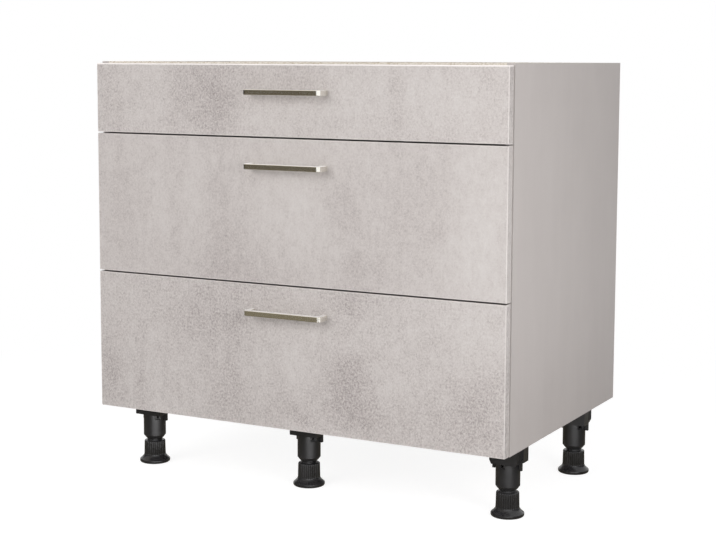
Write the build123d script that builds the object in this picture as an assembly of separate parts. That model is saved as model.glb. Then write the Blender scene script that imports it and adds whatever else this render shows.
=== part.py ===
from build123d import *
import os

# Base cabinet with three drawers on adjustable legs.
# Millimetres. X to the right, Y from the fronts towards the back, Z up.
# Origin: on the floor, midway across the width and midway between the handles and the back.

# ---------------------------------------------------------------------------------------
# Driving dimensions
# ---------------------------------------------------------------------------------------
touch_gap = 0.1              # free play between pieces that are pushed together by hand
running_gap = 0.3            # play between pieces that slide or roll past each other
pin_clearance = 0.08         # radial play of a roller on its pin

# Cabinet body
cabinet_width = 900.0
carcass_height = 704.0
carcass_depth = 563.0
panel_thickness = 16.0
back_thickness = 3.0
back_inset = 17.0            # from the back edge of the side panels to the back panel
groove_depth = 7.0
rail_depth = 96.0            # cross rails under the worktop, front to back
worktop_hole_radius = 2.5
worktop_hole_spacing = 600.0

# Fronts: a deep front is two units high, a shallow one is one unit high
front_thickness = 19.0
front_gap = 3.0
front_side_reveal = 2.0
front_bottom_reveal = 0.5
front_top_reveal = 3.5
front_edge_radius = 1.0
buffer_space = 2.0           # between the back of the fronts and the cabinet body
buffer_radius = 4.0
buffer_end_distance = 30.0   # from a front's top or bottom edge to its buffers
deep_front_unit_count = 2
shallow_front_unit_count = 1

# Handles: square bar bent to a U
handle_length = 170.0
handle_section = 10.5
handle_projection = 30.0
handle_drop = 53.0           # from the top edge of the front to the bar's centre line
handle_inner_bend_radius = 2.0
handle_outer_bend_radius = 8.0
handle_edge_radius = 1.2
handle_screw_radius = 2.0
handle_screw_head_radius = 4.0
handle_screw_head_height = 2.6
handle_screw_grip = 9.0      # length of thread inside the handle

# Panel joints: a cam and its bolt, and a wooden dowel, side by side
cam_radius = 7.5
cam_height = 12.5
cam_setback = 24.0           # from the side panel's face to the cam's centre
cam_bolt_radius = 3.0
cam_bolt_head_radius = 3.8
cam_bolt_head_length = 3.0
cam_bolt_seat = 10.0         # length screwed into the side panel
dowel_radius = 4.0
dowel_length = 30.0
dowel_seat = 10.0            # length in the side panel
cam_to_dowel = 32.0
bottom_front_joint_offset = 41.0       # cam on the bottom panel, from the panel's front edge
bottom_back_joint_offset = 207.0       # cam on the bottom panel, from the panel's back edge
rail_joint_offset = 26.0               # cam on a cross rail, from the rail's front edge

# Roller runners
sheet = 1.2                  # steel thickness of the runners and drawer sides
bend_radius = 1.2            # at the middle of the sheet
runner_height = 28.0
runner_flange = 11.5
runner_setback = 3.0         # from the cabinet body's front edge to the rails
runner_back_gap = 40.0       # from the rails' back end to the back panel
runner_above_front_edge = 33.0
roller_radius = 12.0
roller_width = 6.5
roller_crown = 0.8
roller_recess = 0.9          # depth of the hollow in each face, between hub and tread
roller_hub_wall = 0.8
roller_tread_wall = 2.4
roller_pin_radius = 3.0
roller_collar_radius = 4.5
roller_head_radius = 4.2
roller_head_thickness = 0.6
roller_inset = 3.5           # from the side panel's face to the rollers
roller_end_distance = 14.0   # from the end of a rail or drawer side to its roller
roller_notch_gap = 2.4       # round the front roller, where the rail's upper flange is cut away
carrier_rise = 1.0           # from the rail's upper edge to the flange that rides on the front roller
runner_screw_radius = 3.0
runner_screw_head_radius = 4.5
runner_screw_head_height = 1.0
runner_screw_length = 11.0
runner_screw_offsets = (48.0, 224.0, 416.0)

# Drawers
drawer_back_gap = 45.0       # from the drawer's back end to the back panel
drawer_side_gap = 15.5       # from the side panel's face to the steel drawer side
drawer_side_heights = {"bottom": 150.0, "middle": 150.0, "top": 70.0}
drawer_side_rise = 4.0       # steel side's lower edge above the rail's lower edge
drawer_floor_flange = 15.0
drawer_floor_thickness = 16.0
drawer_back_thickness = 16.0
drawer_back_drop = 3.0       # top of the back board below the top of the steel sides
top_fold_width = 11.2
top_fold_drop = 12.0
carrier_lip = 5.0            # upturned edge of the flange that rides on the front roller
front_bracket_width = 25.0
front_bracket_height = 30.0
front_bracket_thickness = 1.5
front_bracket_rise = 3.0     # from the drawer's floor to the bracket
gallery_radius = 5.0
gallery_rise = 45.0          # gallery rod's centre line above the steel side
gallery_bend_radius = 14.0
gallery_post_inset = 18.0    # from the drawer's back end to the rod's rear post

# Legs, measured down from the cabinet body
leg_height = 141.0
leg_side_inset = 45.5        # from the cabinet's side to a leg's axis
leg_front_inset = 123.0      # from the face of the fronts to the front legs' axes
leg_back_inset = 58.0        # from the back edge to the back legs' axes
leg_back_right_inset = 109.0           # the same for the back right leg, which stands further in
middle_leg_offset = -26.0    # the middle legs stand left of the cabinet's middle
leg_plate_width = 68.0
leg_plate_depth = 70.0
leg_plate_thickness = 4.0
leg_plate_corner_radius = 11.0
leg_plate_shift = 9.0        # plate's centre behind the leg's axis
leg_peg_radius = 5.0
leg_peg_length = 11.0
leg_peg_spacing_x = 40.0
leg_peg_spacing_y = 44.0
housing_half_width = 28.0
housing_foot_half_width = 24.0
housing_height = 35.0        # on the side of the sloped corners
housing_shoulder = 27.0      # from the plate down to the sloped corners
housing_reach = 25.0         # from the leg's axis to the face with the sloped corners
housing_plain_half_width = 31.0
housing_plain_height = 33.0
housing_plain_reach = 24.0   # from the leg's axis to the opposite face
housing_groove_width = 4.0
housing_groove_depth = 1.5
housing_web = 3.0            # beside the grooves
lug_width = 5.5
lug_depth = 6.0
lug_drop = 12.0
tube_radius = 23.25
tube_bottom_height = 53.0    # above the floor
tube_chamfer_height = 6.0
tube_mouth_radius = 18.6
tube_upper_bore_radius = 20.0
window_width = 14.0
window_height = 10.5
window_drop = 33.0           # from the top of the tube to the window
window_depth = 1.6
window_hole = 4.5
window_angle = 53.0          # round the tube, from the front towards the right
turned_window_angle = -8.0   # on the front right leg, which is fitted the other way round
foot_rim_radius = 31.75
foot_sole_radius = 28.0
foot_rim_low = 3.0
foot_rim_high = 6.5
foot_flare_top = 16.5
sleeve_bottom_radius = 22.6
sleeve_top_radius = 21.8
sleeve_top_height = 47.0
sleeve_chamfer = 1.6
rib_count = 28
rib_groove_width = 1.9
rib_groove_depth = 0.9
spindle_radius = 16.5
spindle_length = 55.0
spindle_wall = 3.5

# ---------------------------------------------------------------------------------------
# Places worked out from the dimensions
# ---------------------------------------------------------------------------------------
half_width = cabinet_width / 2
inner_half_width = half_width - panel_thickness
total_depth = handle_projection + front_thickness + buffer_space + carcass_depth

front_face_y = handle_projection - total_depth / 2
front_back_y = front_face_y + front_thickness
carcass_front_y = front_back_y + buffer_space
carcass_back_y = carcass_front_y + carcass_depth
back_panel_rear_y = carcass_back_y - back_inset
back_panel_front_y = back_panel_rear_y - back_thickness

carcass_bottom = leg_height
carcass_top = carcass_bottom + carcass_height
bottom_panel_top = carcass_bottom + panel_thickness
rail_bottom = carcass_top - panel_thickness

front_units = {
    "bottom": deep_front_unit_count,
    "middle": deep_front_unit_count,
    "top": shallow_front_unit_count,
}
unit_total = sum(front_units.values())
fronts_height = carcass_height - front_bottom_reveal - front_top_reveal
unit_height = (fronts_height - (unit_total - 1) * front_gap) / unit_total

front_spans = {}
next_bottom = carcass_bottom + front_bottom_reveal
for level, units in front_units.items():
    next_top = next_bottom + units * unit_height + (units - 1) * front_gap
    front_spans[level] = (next_bottom, next_top)
    next_bottom = next_top + front_gap

handle_hole_x = (handle_length - handle_section) / 2
handle_heights = {level: top - handle_drop for level, (bottom, top) in front_spans.items()}

runner_datums = {level: bottom + runner_above_front_edge
                 for level, (bottom, top) in front_spans.items()}
runner_front_y = carcass_front_y + runner_setback
runner_back_y = back_panel_front_y - runner_back_gap
drawer_back_y = back_panel_front_y - drawer_back_gap
front_roller_y = runner_front_y + roller_end_distance
rear_roller_y = drawer_back_y - roller_end_distance

roller_outer_u = roller_inset + roller_width
rear_roller_rise = sheet + running_gap + roller_radius
carrier_underside = runner_height + carrier_rise
front_roller_rise = carrier_underside - running_gap - roller_radius
drawer_inner_half_width = inner_half_width - drawer_side_gap - sheet
drawer_board_reach = drawer_inner_half_width - (bend_radius - sheet / 2) - touch_gap
drawer_floor_rise = drawer_side_rise + sheet

front_leg_y = front_face_y + leg_front_inset
back_leg_y = carcass_back_y - leg_back_inset
back_right_leg_y = carcass_back_y - leg_back_right_inset
outer_leg_x = half_width - leg_side_inset
leg_places = {
    "front_left": (-outer_leg_x, front_leg_y),
    "front_middle": (middle_leg_offset, front_leg_y),
    "front_right": (outer_leg_x, front_leg_y),
    "back_left": (-outer_leg_x, back_leg_y),
    "back_middle": (middle_leg_offset, back_leg_y),
    "back_right": (outer_leg_x, back_right_leg_y),
}
turned_leg = "front_right"
# this radius lets the round under the rim run out level into the sole
foot_rim_overhang = foot_rim_radius - foot_sole_radius
foot_rounding_radius = (foot_rim_overhang ** 2 + foot_rim_low ** 2) / (2 * foot_rim_low)

pieces = {}


# ---------------------------------------------------------------------------------------
# Helpers
# ---------------------------------------------------------------------------------------
def block(x_span, y_span, z_span):
    """A box between two places on each axis."""
    (x0, x1), (y0, y1), (z0, z1) = x_span, y_span, z_span
    centre = Pos((x0 + x1) / 2, (y0 + y1) / 2, (z0 + z1) / 2)
    return centre * Box(abs(x1 - x0), abs(y1 - y0), abs(z1 - z0))


def rod_x(radius, x_span, y, z):
    """A cylinder along X."""
    x0, x1 = sorted(x_span)
    return Pos((x0 + x1) / 2, y, z) * Rot(0, 90, 0) * Cylinder(radius, x1 - x0)


def rod_y(radius, x, y_span, z):
    """A cylinder along Y."""
    y0, y1 = sorted(y_span)
    return Pos(x, (y0 + y1) / 2, z) * Rot(90, 0, 0) * Cylinder(radius, y1 - y0)


def rod_z(radius, x, y, z_span):
    """A cylinder along Z."""
    z0, z1 = sorted(z_span)
    return Pos(x, y, (z0 + z1) / 2) * Cylinder(radius, z1 - z0)


def along_y(profile, y0, y1):
    """A profile drawn in X and Z, carried from y0 to y1."""
    plane = Plane((0, y0, 0), x_dir=(1, 0, 0), z_dir=(0, -1, 0))
    return extrude(plane * profile, amount=-(y1 - y0))


def folded_sheet(*points):
    """The section of a folded steel sheet, from its middle line."""
    return trace(FilletPolyline(*points, radius=bend_radius), line_width=sheet)


def group(solids):
    """Separate solids that share one node."""
    return Part() + list(solids)


def to_right(shape):
    """The right-hand twin of a left-hand piece."""
    return mirror(shape, about=Plane.YZ)


# ---------------------------------------------------------------------------------------
# Panel joints
# ---------------------------------------------------------------------------------------
def panel_joints():
    """Each joint's level and its cam's place along Y, the same at both sides."""
    joints = [(carcass_bottom, carcass_front_y + bottom_front_joint_offset),
              (carcass_bottom, carcass_back_y - bottom_back_joint_offset)]
    for rail_front in (carcass_front_y, back_panel_front_y - rail_depth):
        joints.append((rail_bottom, rail_front + rail_joint_offset))
    return joints


def cam_joint_hardware(underside, cam_y, side):
    """The cam, its bolt and the dowel beside it, for one end of a level panel."""
    middle_z = underside + panel_thickness / 2
    face_x = side * inner_half_width
    cam_x = face_x - side * cam_setback
    bolt_end_x = face_x + side * cam_bolt_seat
    dowel_y = cam_y + cam_to_dowel

    cam = rod_z(cam_radius - touch_gap, cam_x, cam_y, (underside, underside + cam_height - touch_gap))
    slot_half = cam_bolt_head_radius + touch_gap
    cam -= block((cam_x - side * cam_bolt_head_length, cam_x + side * 2 * cam_radius),
                 (cam_y - slot_half, cam_y + slot_half),
                 (middle_z - slot_half, middle_z + slot_half))
    bolt = rod_x(cam_bolt_radius, (bolt_end_x, cam_x), cam_y, middle_z)
    bolt += rod_x(cam_bolt_head_radius, (cam_x - side * cam_bolt_head_length / 2,
                                         cam_x + side * cam_bolt_head_length / 2), cam_y, middle_z)
    dowel_x = (face_x + side * dowel_seat, face_x + side * (dowel_seat - dowel_length))
    dowel = rod_x(dowel_radius, dowel_x, dowel_y, middle_z)
    return cam, bolt, dowel


def cam_joint_holes(underside, cam_y, side):
    """The holes for one joint, cut from both panels."""
    middle_z = underside + panel_thickness / 2
    face_x = side * inner_half_width
    cam_x = face_x - side * cam_setback
    dowel_y = cam_y + cam_to_dowel
    cam_pocket = rod_z(cam_radius, cam_x, cam_y, (underside, underside + cam_height))
    bolt_hole = rod_x(cam_bolt_radius + touch_gap, (face_x + side * (cam_bolt_seat + touch_gap), face_x),
                      cam_y, middle_z)
    bolt_way = rod_x(cam_bolt_head_radius + touch_gap, (face_x, cam_x), cam_y, middle_z)
    dowel_hole = rod_x(dowel_radius + touch_gap / 2,
                       (face_x + side * (dowel_seat + touch_gap),
                        face_x + side * (dowel_seat - dowel_length - touch_gap)), dowel_y, middle_z)
    side_panel_holes = bolt_hole + dowel_hole
    level_panel_holes = cam_pocket + bolt_way + dowel_hole
    return side_panel_holes, level_panel_holes


def level_panel_cuts(underside):
    """All joint holes in the level panels with this underside."""
    cuts = Part()
    for joint_underside, cam_y in panel_joints():
        if joint_underside == underside:
            for side in (-1, 1):
                cuts += cam_joint_holes(joint_underside, cam_y, side)[1]
    return cuts


def runner_screw_places():
    """Height and place along Y of each screw in one side panel."""
    return [(datum + runner_height / 2, runner_front_y + offset)
            for datum in runner_datums.values() for offset in runner_screw_offsets]


# ---------------------------------------------------------------------------------------
# Cabinet body
# ---------------------------------------------------------------------------------------
def back_groove(x_span, z_span):
    """The groove that holds the back panel, cut from a panel's inner face."""
    return block(x_span, (back_panel_front_y - touch_gap, back_panel_rear_y + touch_gap), z_span)


def left_side_panel():
    """Upright panel with its groove, joint holes and runner screw holes."""
    panel = block((-half_width, -inner_half_width), (carcass_front_y, carcass_back_y),
                  (carcass_bottom, carcass_top))
    panel -= back_groove((-inner_half_width - groove_depth, -inner_half_width),
                         (carcass_bottom, carcass_top))
    for underside, cam_y in panel_joints():
        panel -= cam_joint_holes(underside, cam_y, -1)[0]
    hole_depth = runner_screw_length - sheet + touch_gap
    hole_x = (-inner_half_width - hole_depth, -inner_half_width)
    for z, y in runner_screw_places():
        panel -= rod_x(runner_screw_radius + touch_gap, hole_x, y, z)
    return panel


def leg_peg_places(x, y):
    """The four pegs of the leg plate whose leg stands at x, y."""
    centre_y = y + leg_plate_shift
    return [(x + sx * leg_peg_spacing_x / 2, centre_y + sy * leg_peg_spacing_y / 2)
            for sx in (-1, 1) for sy in (-1, 1)]


def bottom_panel():
    """Level panel with the back groove, joint holes and blind holes for the leg pegs."""
    panel = block((-inner_half_width, inner_half_width), (carcass_front_y, carcass_back_y),
                  (carcass_bottom, bottom_panel_top))
    panel -= back_groove((-inner_half_width, inner_half_width),
                         (bottom_panel_top - groove_depth, bottom_panel_top))
    panel -= level_panel_cuts(carcass_bottom)
    for x, y in leg_places.values():
        for peg_x, peg_y in leg_peg_places(x, y):
            panel -= rod_z(leg_peg_radius + touch_gap, peg_x, peg_y,
                           (carcass_bottom, carcass_bottom + leg_peg_length + touch_gap))
    return panel


def back_panel():
    """Thin board in the grooves of the side panels and the bottom panel."""
    reach = groove_depth - touch_gap
    return block((-inner_half_width - reach, inner_half_width + reach),
                 (back_panel_front_y, back_panel_rear_y),
                 (bottom_panel_top - reach, carcass_top))


def top_rail(front_y):
    """Cross rail under the worktop, with two holes for the worktop screws."""
    rail = block((-inner_half_width, inner_half_width), (front_y, front_y + rail_depth),
                 (rail_bottom, carcass_top))
    for x in (-worktop_hole_spacing / 2, worktop_hole_spacing / 2):
        rail -= rod_z(worktop_hole_radius, x, front_y + rail_depth / 2, (rail_bottom, carcass_top))
    return rail


def make_body():
    """Panels and the fittings that join them."""
    left = left_side_panel()
    pieces["side_panel_left"] = left
    pieces["side_panel_right"] = to_right(left)
    pieces["bottom_panel"] = bottom_panel()
    pieces["back_panel"] = back_panel()
    rail_cuts = level_panel_cuts(rail_bottom)
    pieces["top_rail_front"] = top_rail(carcass_front_y) - rail_cuts
    pieces["top_rail_back"] = top_rail(back_panel_front_y - rail_depth) - rail_cuts

    hardware = [cam_joint_hardware(underside, cam_y, side)
                for underside, cam_y in panel_joints() for side in (-1, 1)]
    cams, bolts, dowels = zip(*hardware)
    pieces["cam_housings"] = group(cams)
    pieces["cam_bolts"] = group(bolts)
    pieces["wood_dowels"] = group(dowels)

    buffer_y = (carcass_front_y - buffer_space + touch_gap, carcass_front_y)
    buffers = []
    for bottom, top in front_spans.values():
        for z in (bottom + buffer_end_distance, top - buffer_end_distance):
            for side in (-1, 1):
                buffers.append(rod_y(buffer_radius, side * (half_width - panel_thickness / 2), buffer_y, z))
    pieces["front_buffers"] = group(buffers)


# ---------------------------------------------------------------------------------------
# Roller runners
# ---------------------------------------------------------------------------------------
def left_x(u):
    """X of a place u inwards from the left side panel's face."""
    return -inner_half_width + u


def left_cabinet_runner(datum):
    """C-shaped rail on the side panel, open towards the drawer, with its roller pin at the front."""
    mid = sheet / 2
    profile = folded_sheet((left_x(runner_flange), datum + mid), (left_x(mid), datum + mid),
                           (left_x(mid), datum + runner_height - mid),
                           (left_x(runner_flange), datum + runner_height - mid))
    rail = along_y(profile, runner_front_y, runner_back_y)
    pin_z = datum + front_roller_rise
    # the upper flange stops short of the roller, which stands proud of the rail
    rail -= block((left_x(sheet), left_x(runner_flange + sheet)),
                  (runner_front_y - sheet, front_roller_y + roller_radius + roller_notch_gap),
                  (datum + runner_height - 2 * sheet, datum + runner_height + sheet))
    for offset in runner_screw_offsets:
        rail -= rod_x(runner_screw_radius + touch_gap, (left_x(-sheet), left_x(2 * sheet)),
                      runner_front_y + offset, datum + runner_height / 2)
    collar_end = roller_inset - touch_gap
    head_start = roller_outer_u + touch_gap
    rail += rod_x(roller_collar_radius, (left_x(sheet / 2), left_x(collar_end)), front_roller_y, pin_z)
    rail += rod_x(roller_pin_radius, (left_x(sheet), left_x(head_start)), front_roller_y, pin_z)
    rail += rod_x(roller_head_radius, (left_x(head_start), left_x(head_start + roller_head_thickness)),
                  front_roller_y, pin_z)
    return rail


def left_roller(y, z):
    """Nylon roller with a slightly crowned tread and a recessed face on each side."""
    half = roller_width / 2
    bore = roller_pin_radius + pin_clearance
    web = half - roller_recess
    hub = roller_collar_radius + roller_hub_wall
    rim = roller_radius - roller_tread_wall
    edge = roller_radius - roller_crown
    outline = make_face(Polyline((bore, -half), (hub, -half), (hub, -web), (rim, -web), (rim, -half),
                                 (edge, -half), (roller_radius, -half + roller_crown),
                                 (roller_radius, half - roller_crown), (edge, half), (rim, half),
                                 (rim, web), (hub, web), (hub, half), (bore, half), close=True))
    wheel = revolve(Plane.XZ * outline, axis=Axis.Z)
    return Pos(left_x(roller_inset + half), y, z) * Rot(0, 90, 0) * wheel


def roller_pair(y, z):
    """The left and right rollers, which turn on one line."""
    left = left_roller(y, z)
    return group([left, to_right(left)])


def left_runner_screws():
    """Flat-headed screws that hold the rails to the side panel."""
    screws = []
    tip = left_x(sheet - runner_screw_length)
    seat = left_x(sheet)
    head_top = left_x(sheet + runner_screw_head_height)
    for z, y in runner_screw_places():
        screw = rod_x(runner_screw_radius, (tip, seat), y, z)
        screw += rod_x(runner_screw_head_radius, (seat, head_top), y, z)
        screws.append(screw)
    return screws


def make_runners():
    """Rails, screws and rollers of all drawers."""
    for level, datum in runner_datums.items():
        rail = left_cabinet_runner(datum)
        pieces[f"cabinet_runner_left_{level}"] = rail
        pieces[f"cabinet_runner_right_{level}"] = to_right(rail)
        pieces[f"cabinet_rollers_{level}"] = roller_pair(front_roller_y, datum + front_roller_rise)
        pieces[f"drawer_rollers_{level}"] = roller_pair(rear_roller_y, datum + rear_roller_rise)
    screws = left_runner_screws()
    pieces["runner_screws"] = group(screws + [to_right(screw) for screw in screws])


# ---------------------------------------------------------------------------------------
# Drawers
# ---------------------------------------------------------------------------------------
def drawer_front(level):
    """Front board with softened edges and two handle screw holes."""
    bottom, top = front_spans[level]
    reach = half_width - front_side_reveal
    board = block((-reach, reach), (front_face_y, front_back_y), (bottom, top))
    board = fillet(board.faces().sort_by(Axis.Y)[0].edges(), front_edge_radius)
    z = handle_heights[level]
    for x in (-handle_hole_x, handle_hole_x):
        board -= rod_y(handle_screw_radius + touch_gap, x, (front_face_y, front_back_y), z)
    return board


def handle(level):
    """Square bar bent to a U, with softened outer edges and blind holes for its screws."""
    z = handle_heights[level]
    reach = handle_length / 2
    outer_y = front_face_y - handle_projection
    bar = block((-reach, reach), (outer_y, front_face_y),
                (z - handle_section / 2, z + handle_section / 2))
    bar = fillet(bar.edges().filter_by(Axis.Z).group_by(Axis.Y)[0], handle_outer_bend_radius)
    arrises = bar.edges().filter_by(Axis.Z, reverse=True) - bar.faces().sort_by(Axis.Y)[-1].edges()
    bar = fillet(arrises, handle_edge_radius)
    hollow = block((handle_section - reach, reach - handle_section),
                   (outer_y + handle_section, front_face_y + handle_section),
                   (z - handle_section, z + handle_section))
    bar -= fillet(hollow.edges().filter_by(Axis.Z).group_by(Axis.Y)[0], handle_inner_bend_radius)
    for x in (-handle_hole_x, handle_hole_x):
        bar -= rod_y(handle_screw_radius + touch_gap, x,
                     (front_face_y - handle_screw_grip - touch_gap, front_face_y), z)
    return bar


def handle_screws(level):
    """Two screws from inside the drawer through the front into the handle."""
    z = handle_heights[level]
    tip = front_face_y - handle_screw_grip
    head_back = front_back_y + handle_screw_head_height
    screws = []
    for x in (-handle_hole_x, handle_hole_x):
        screw = rod_y(handle_screw_radius, x, (tip, front_back_y), z)
        screw += rod_y(handle_screw_head_radius, x, (front_back_y, head_back), z)
        screws.append(screw)
    return group(screws)


def left_drawer_side(level):
    """Folded steel side: wall with a rolled top, floor flange, carrier flange and roller pin."""
    datum = runner_datums[level]
    wall = drawer_side_gap + sheet / 2
    low = datum + drawer_side_rise
    high = low + drawer_side_heights[level]
    mid = sheet / 2
    wall_section = folded_sheet((left_x(wall - top_fold_width), high - top_fold_drop),
                                (left_x(wall - top_fold_width), high - mid),
                                (left_x(wall), high - mid),
                                (left_x(wall), low + mid),
                                (left_x(wall + drawer_floor_flange), low + mid))
    carrier_z = datum + carrier_underside + mid
    carrier_section = folded_sheet((left_x(wall), carrier_z),
                                   (left_x(roller_inset + mid), carrier_z),
                                   (left_x(roller_inset + mid), carrier_z + carrier_lip))
    steel = along_y(wall_section, front_back_y, drawer_back_y)
    steel += along_y(carrier_section, runner_front_y, drawer_back_y)
    bracket_low = datum + drawer_floor_rise + drawer_floor_thickness + front_bracket_rise
    steel += block((left_x(wall), left_x(wall + front_bracket_width)),
                   (front_back_y, front_back_y + front_bracket_thickness),
                   (bracket_low, bracket_low + front_bracket_height))
    pin_z = datum + rear_roller_rise
    collar_start = roller_outer_u + touch_gap
    head_end = roller_inset - touch_gap
    steel += rod_x(roller_collar_radius, (left_x(collar_start), left_x(wall)), rear_roller_y, pin_z)
    steel += rod_x(roller_pin_radius, (left_x(head_end), left_x(wall)), rear_roller_y, pin_z)
    steel += rod_x(roller_head_radius, (left_x(head_end - roller_head_thickness), left_x(head_end)),
                   rear_roller_y, pin_z)
    return steel


def drawer_floor(level):
    """Bottom board that lies on the floor flanges of the steel sides."""
    low = runner_datums[level] + drawer_floor_rise
    return block((-drawer_board_reach, drawer_board_reach), (front_back_y, drawer_back_y),
                 (low, low + drawer_floor_thickness))


def drawer_back(level):
    """Back board that stands on the bottom board between the steel sides."""
    low = runner_datums[level] + drawer_floor_rise + drawer_floor_thickness
    side_top = runner_datums[level] + drawer_side_rise + drawer_side_heights[level]
    return block((-drawer_board_reach, drawer_board_reach),
                 (drawer_back_y - drawer_back_thickness, drawer_back_y),
                 (low, side_top - drawer_back_drop))


def left_gallery_rod(level):
    """Round rod from the front, level over the steel side, bent down onto it at the back."""
    x = left_x(drawer_side_gap + sheet - top_fold_width / 2)
    side_top = runner_datums[level] + drawer_side_rise + drawer_side_heights[level]
    rod_height = side_top + gallery_rise
    post_y = drawer_back_y - gallery_post_inset
    path = FilletPolyline((x, front_back_y, rod_height), (x, post_y, rod_height), (x, post_y, side_top),
                          radius=gallery_bend_radius)
    section = Plane((x, front_back_y, rod_height), z_dir=(0, 1, 0)) * Circle(gallery_radius)
    return sweep(section, path=path)


def make_drawers():
    """Every piece that slides out with each front."""
    for level in front_units:
        pieces[f"drawer_front_{level}"] = drawer_front(level)
        pieces[f"handle_{level}"] = handle(level)
        pieces[f"handle_screws_{level}"] = handle_screws(level)
        steel = left_drawer_side(level)
        pieces[f"drawer_side_left_{level}"] = steel
        pieces[f"drawer_side_right_{level}"] = to_right(steel)
        pieces[f"drawer_floor_{level}"] = drawer_floor(level)
        pieces[f"drawer_back_{level}"] = drawer_back(level)
        if front_units[level] == deep_front_unit_count:
            rod = left_gallery_rod(level)
            pieces[f"gallery_rods_{level}"] = group([rod, to_right(rod)])


# ---------------------------------------------------------------------------------------
# Legs
# ---------------------------------------------------------------------------------------
def leg_housing():
    """Housing round the leg, hung from the plate at z 0.

    Its deeper half has sloped lower corners, grooved sides and two lugs. The other half is plain."""
    shoulder_z = -housing_shoulder
    foot_z = -housing_height
    outline = make_face(Polyline((-housing_half_width, 0), (-housing_half_width, shoulder_z),
                                 (-housing_foot_half_width, foot_z), (housing_foot_half_width, foot_z),
                                 (housing_half_width, shoulder_z), (housing_half_width, 0), close=True))
    housing = along_y(outline, 0, housing_reach)
    housing += block((-housing_plain_half_width, housing_plain_half_width), (-housing_plain_reach, 0),
                     (-housing_plain_height, 0))
    for side in (-1, 1):
        lug_x = (side * housing_foot_half_width, side * (housing_foot_half_width + lug_width))
        housing += block(lug_x, (0, lug_depth), (foot_z - lug_drop, shoulder_z))
        groove_x = (side * (housing_half_width - housing_groove_depth), side * housing_half_width)
        for groove_y in (lug_depth + housing_web, housing_reach - housing_web - housing_groove_width):
            housing -= block(groove_x, (groove_y, groove_y + housing_groove_width), (foot_z, 0))
    return housing - rod_z(tube_radius + touch_gap, 0, 0, (foot_z - lug_drop, 0))


def leg_socket(x, y, housing_turn):
    """Plate pegged under the bottom panel, with the housing that holds the leg tube."""
    plate_outline = RectangleRounded(leg_plate_width, leg_plate_depth, leg_plate_corner_radius)
    plate_bottom = carcass_bottom - leg_plate_thickness
    body = Pos(x, y + leg_plate_shift, plate_bottom) * extrude(plate_outline, amount=leg_plate_thickness)
    body += Pos(x, y, plate_bottom) * Rot(0, 0, housing_turn) * leg_housing()
    for peg_x, peg_y in leg_peg_places(x, y):
        body += rod_z(leg_peg_radius, peg_x, peg_y, (plate_bottom, carcass_bottom + leg_peg_length))
    return body


def leg_tube(x, y, angle):
    """Tube with a chamfered mouth for the spindle and a latch window near its top."""
    top = leg_height - leg_plate_thickness
    bore = spindle_radius + running_gap
    step = tube_bottom_height + spindle_length + sleeve_chamfer
    outline = make_face(Polyline((bore, tube_bottom_height), (tube_mouth_radius, tube_bottom_height),
                                 (tube_radius, tube_bottom_height + tube_chamfer_height), (tube_radius, top),
                                 (tube_upper_bore_radius, top), (tube_upper_bore_radius, step),
                                 (bore, step), close=True))
    tube = revolve(Plane.XZ * outline, axis=Axis.Z)
    window_z = top - window_drop - window_height / 2
    recess = Pos(0, -tube_radius, window_z) * Box(window_width, 2 * window_depth, window_height)
    hole = Pos(0, -tube_radius, window_z) * Box(window_hole, tube_radius, window_hole)
    return Pos(x, y, 0) * (tube - Rot(0, 0, angle) * (recess + hole))


def leg_foot(x, y):
    """Foot that screws into the tube: hollow spindle, ribbed sleeve and flared base."""
    shoulder = sleeve_top_height - sleeve_chamfer
    top = sleeve_top_height + spindle_length
    bore = spindle_radius - spindle_wall
    outline = Polyline((foot_sole_radius, 0), (0, 0), (0, foot_flare_top), (bore, foot_flare_top),
                       (bore, top), (spindle_radius, top), (spindle_radius, sleeve_top_height),
                       (sleeve_top_radius - sleeve_chamfer, sleeve_top_height),
                       (sleeve_top_radius, shoulder), (sleeve_bottom_radius, foot_flare_top),
                       (foot_rim_radius, foot_rim_high), (foot_rim_radius, foot_rim_low))
    rounding = RadiusArc((foot_rim_radius, foot_rim_low), (foot_sole_radius, 0), foot_rounding_radius)
    foot = revolve(Plane.XZ * make_face(outline + rounding), axis=Axis.Z)
    groove = block((sleeve_top_radius - rib_groove_depth, sleeve_bottom_radius + rib_groove_depth),
                   (-rib_groove_width / 2, rib_groove_width / 2),
                   (foot_flare_top + sleeve_chamfer, shoulder))
    for turn in range(rib_count):
        foot -= Rot(0, 0, 360 * turn / rib_count) * groove
    return Pos(x, y, 0) * foot


def make_legs():
    """Sockets, tubes and feet of the six legs."""
    sockets = []
    for name, (x, y) in leg_places.items():
        turned = name == turned_leg
        sockets.append(leg_socket(x, y, 180 if turned else 0))
        pieces[f"leg_tube_{name}"] = leg_tube(x, y, turned_window_angle if turned else window_angle)
        pieces[f"leg_foot_{name}"] = leg_foot(x, y)
    pieces["leg_sockets"] = group(sockets)


# ---------------------------------------------------------------------------------------
# Build and export
# ---------------------------------------------------------------------------------------
make_body()
make_runners()
make_drawers()
make_legs()

os.makedirs("parts", exist_ok=True)
for node, shape in pieces.items():
    export_step(shape, f"parts/{node}.step")
print(len(pieces), "nodes")
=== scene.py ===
"""Looks of the base cabinet with three drawers: camera, light, finishes and the finely formed pieces.

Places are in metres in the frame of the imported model: X to the right, Y from the fronts towards the
back, Z up from the floor. The shapes of small pieces are worked out in millimetres, and MM turns
them into metres."""
import math

import bpy
import numpy as np
from mathutils import Matrix, Vector


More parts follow.
